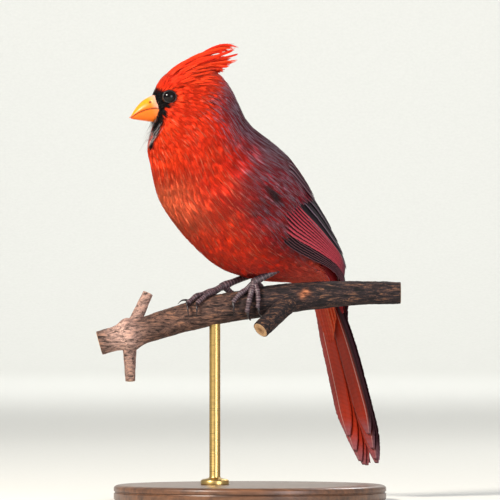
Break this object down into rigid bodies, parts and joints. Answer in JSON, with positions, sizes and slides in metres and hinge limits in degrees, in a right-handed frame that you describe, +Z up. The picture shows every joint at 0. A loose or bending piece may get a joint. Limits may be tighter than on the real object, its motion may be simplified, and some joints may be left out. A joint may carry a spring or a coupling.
{
  "type": "northern cardinal",
  "caption": "Life-size male northern cardinal gripping a short cut branch, looking to the side, held on a plain round display stand by a rod.",
  "frame": {"origin": "middle of the round base's underside, on the surface that the stand rests on", "axes": "+Z up; the branch runs along X and the bird looks towards -X, turned a little towards -Y, which is the side the picture was taken from"},
  "size_m": [0.1384, 0.124, 0.2051],
  "materials": {
    "plumage_red": "soft layered body feathers, bright orange red, blackish round the bill",
    "plumage_wing": "stiff flight feathers and coverts, dusky pinkish red with dark grey edges",
    "plumage_tail": "stiff tail feathers, brick red with pale shafts and greyish tips",
    "bill": "horny bill, yellow orange, semi-gloss",
    "eye": "wet, very dark brown eyeball",
    "leg_skin": "scaly leg skin, dark purplish brown",
    "bark": "dark thin bark with ochre cracks, pale where rubbed",
    "base_wood": "turned, stained and satin varnished wood",
    "rod_metal": "satin brass"
  },
  "bodies": {
    "root": {"head": "plumage_red", "neck": "plumage_red", "torso": "plumage_red", "bill_upper": "bill", "bill_lower": "bill", "tail": "plumage_tail", "eye_left": "eye", "eye_right": "eye", "wing_left": "plumage_wing", "wing_right": "plumage_wing", "leg_left": "leg_skin", "leg_right": "leg_skin", "foot_left": "leg_skin", "foot_right": "leg_skin", "perch": "bark", "stand_rod": "rod_metal", "stand_base": "base_wood"}
  },
  "joints": []
}
